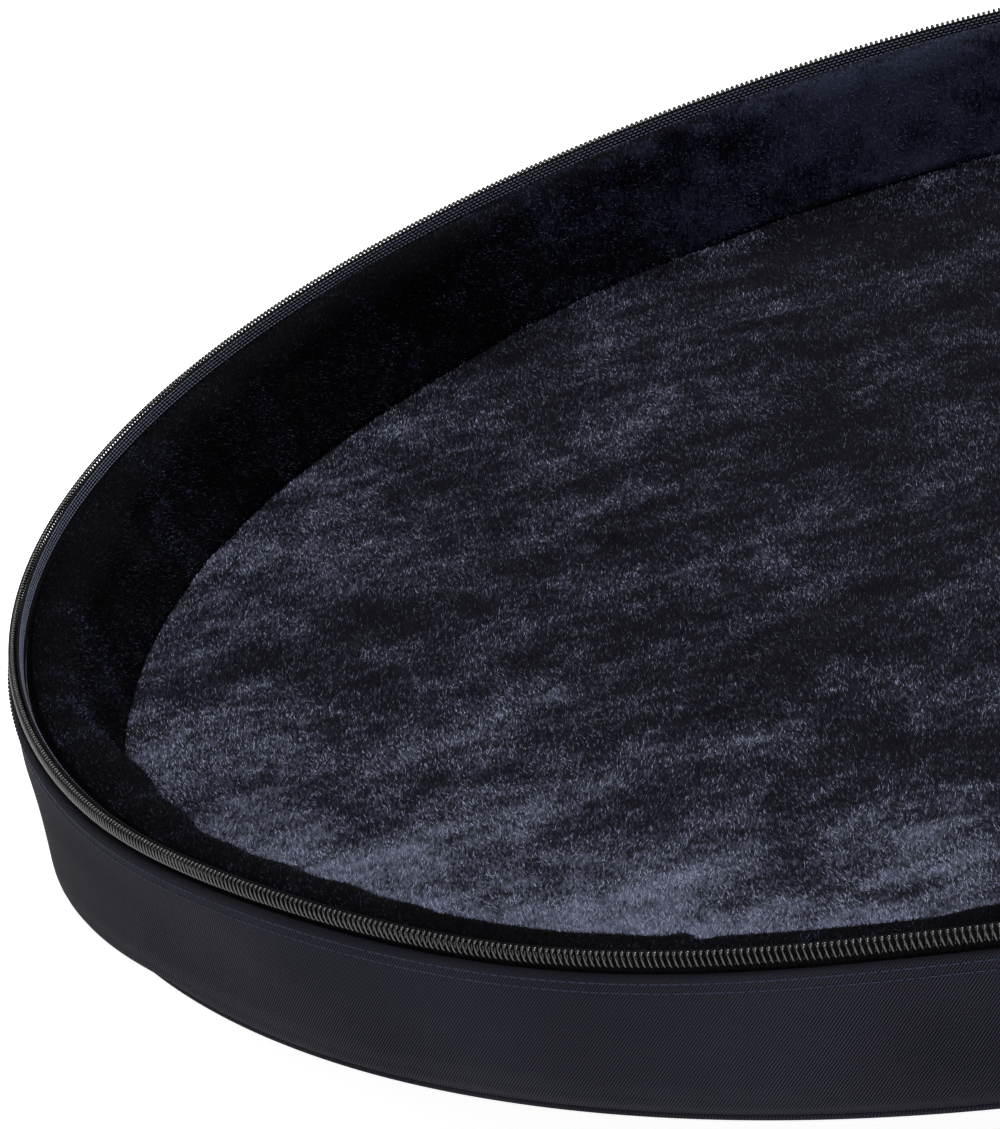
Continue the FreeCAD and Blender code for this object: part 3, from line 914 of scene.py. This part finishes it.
def hardware():
    """Materials for the CAD nodes that stay: sliders, pulls, foam and the base board."""
    looks = {"slider_body": "metal", "slider_pull": "metal", "slider_grip": "rubber"}
    for name, node in frame["nodes"].items():
        kind = next((looks[k] for k in looks if name.startswith(k)), None)
        kind = kind or ("foam" if "foam" in name else "board" if "board" in name else None)
        if kind and not node.hide_render:
            node.data.materials.clear()
            node.data.materials.append(LOOKS[kind])


def build():
    body = Half("body", RIM_Z, 163.0, 167.0)
    lid = Half("lid", LID_DEPTH, 155.8, 157.6)
    for half in (body, lid):
        outer_side(half)
        end_panel(half)
        welt(half)
        for row, below in enumerate((1.1 * MM, 3.6 * MM)):
            stitches(half, "topstitch_%d" % (row + 1), OUTER_R, HEM_DEPTH + below, 2.2 * MM, 0.5 * MM,
                     0.2 * MM, "navy_thread", rise=0.5)
        coil(half)
        tape(half)
        end_tabs(half)
        for row in range(4):
            stitches(half, "tape_stitch_%d" % (row + 1), TAPE_R, (1.9 + 0.95 * row) * MM, 1.25 * MM,
                     PITCH - 1.25 * MM, 0.3 * MM, "grey_thread", end=half.coil_end, rise=-0.5,
                     lead=row % 2 / 2)
    linings(lid, LID_DEPTH - 8.5 * MM, 195000, (41, 43), 150000, 1.0)
    linings(body, RIM_Z - 17 * MM, 60000, (45,), 90000, 2.0)
    hinge_cloth((body, lid))
    handle()
    hardware()


# Floor, lights and camera -------------------------------------------------------------------

def studio():
    look = Look("floor_white", roughness=0.8, Specular_IOR_Level=0.1, Emission_Color=(1, 1, 1, 1),
                Emission_Strength=0.93)
    shade = look.noise(look.where("Object"), 0.6, 2)
    look.colour(look.ramp(shade, [(0.3, (0.84, 0.84, 0.84)), (0.7, (0.88, 0.88, 0.88))]))
    bpy.ops.mesh.primitive_plane_add(size=14, location=(0, 0, -0.0005))
    floor = bpy.context.object
    floor.name = "floor"
    floor.data.materials.append(look.material)
    world = bpy.data.worlds.new("studio")
    world.use_nodes = True
    world.node_tree.nodes["Background"].inputs["Color"].default_value = (1, 1, 1, 1)
    world.node_tree.nodes["Background"].inputs["Strength"].default_value = 0.4
    bpy.context.scene.world = world
    softbox("key", (-1.0, -1.4, 1.8), (-0.65, 0, 0.1), 0.4, 24)
    softbox("back", (-0.2, 1.5, 1.7), (-0.5, 0, 0.1), 0.5, 22)
    softbox("top", (-0.5, -0.1, 2.4), (-0.5, 0, 0.1), 1.8, 26)


def softbox(name, place, target, size, power):
    lamp = bpy.data.lights.new(name, "AREA")
    lamp.size = size
    lamp.energy = power
    obj = bpy.data.objects.new(name, lamp)
    obj.location = place
    obj.rotation_euler = (Vector(target) - Vector(place)).to_track_quat("-Z", "Y").to_euler()
    bpy.context.collection.objects.link(obj)


def camera():
    """A long lens, level, looking down about 23 degrees across the open lid."""
    lens = bpy.data.cameras.new("camera")
    lens.lens = 182.4
    lens.sensor_width = 36
    lens.clip_end = 50
    eye = bpy.data.objects.new("camera", lens)
    bpy.context.collection.objects.link(eye)
    rim_middle = AXIS + Matrix.Rotation(-OPEN, 3, "Y") @ -Vector((AXIS.x, 0, 0))
    eye.location = rim_middle + Vector((-0.2652, -1.4255, 0.5440))
    heading, fall = math.radians(3.88), math.radians(22.75)
    eye.rotation_euler = (math.pi / 2 - fall, 0, -heading)
    bpy.context.scene.camera = eye


build()
studio()
camera()
bpy.context.scene.view_settings.view_transform = "Standard"
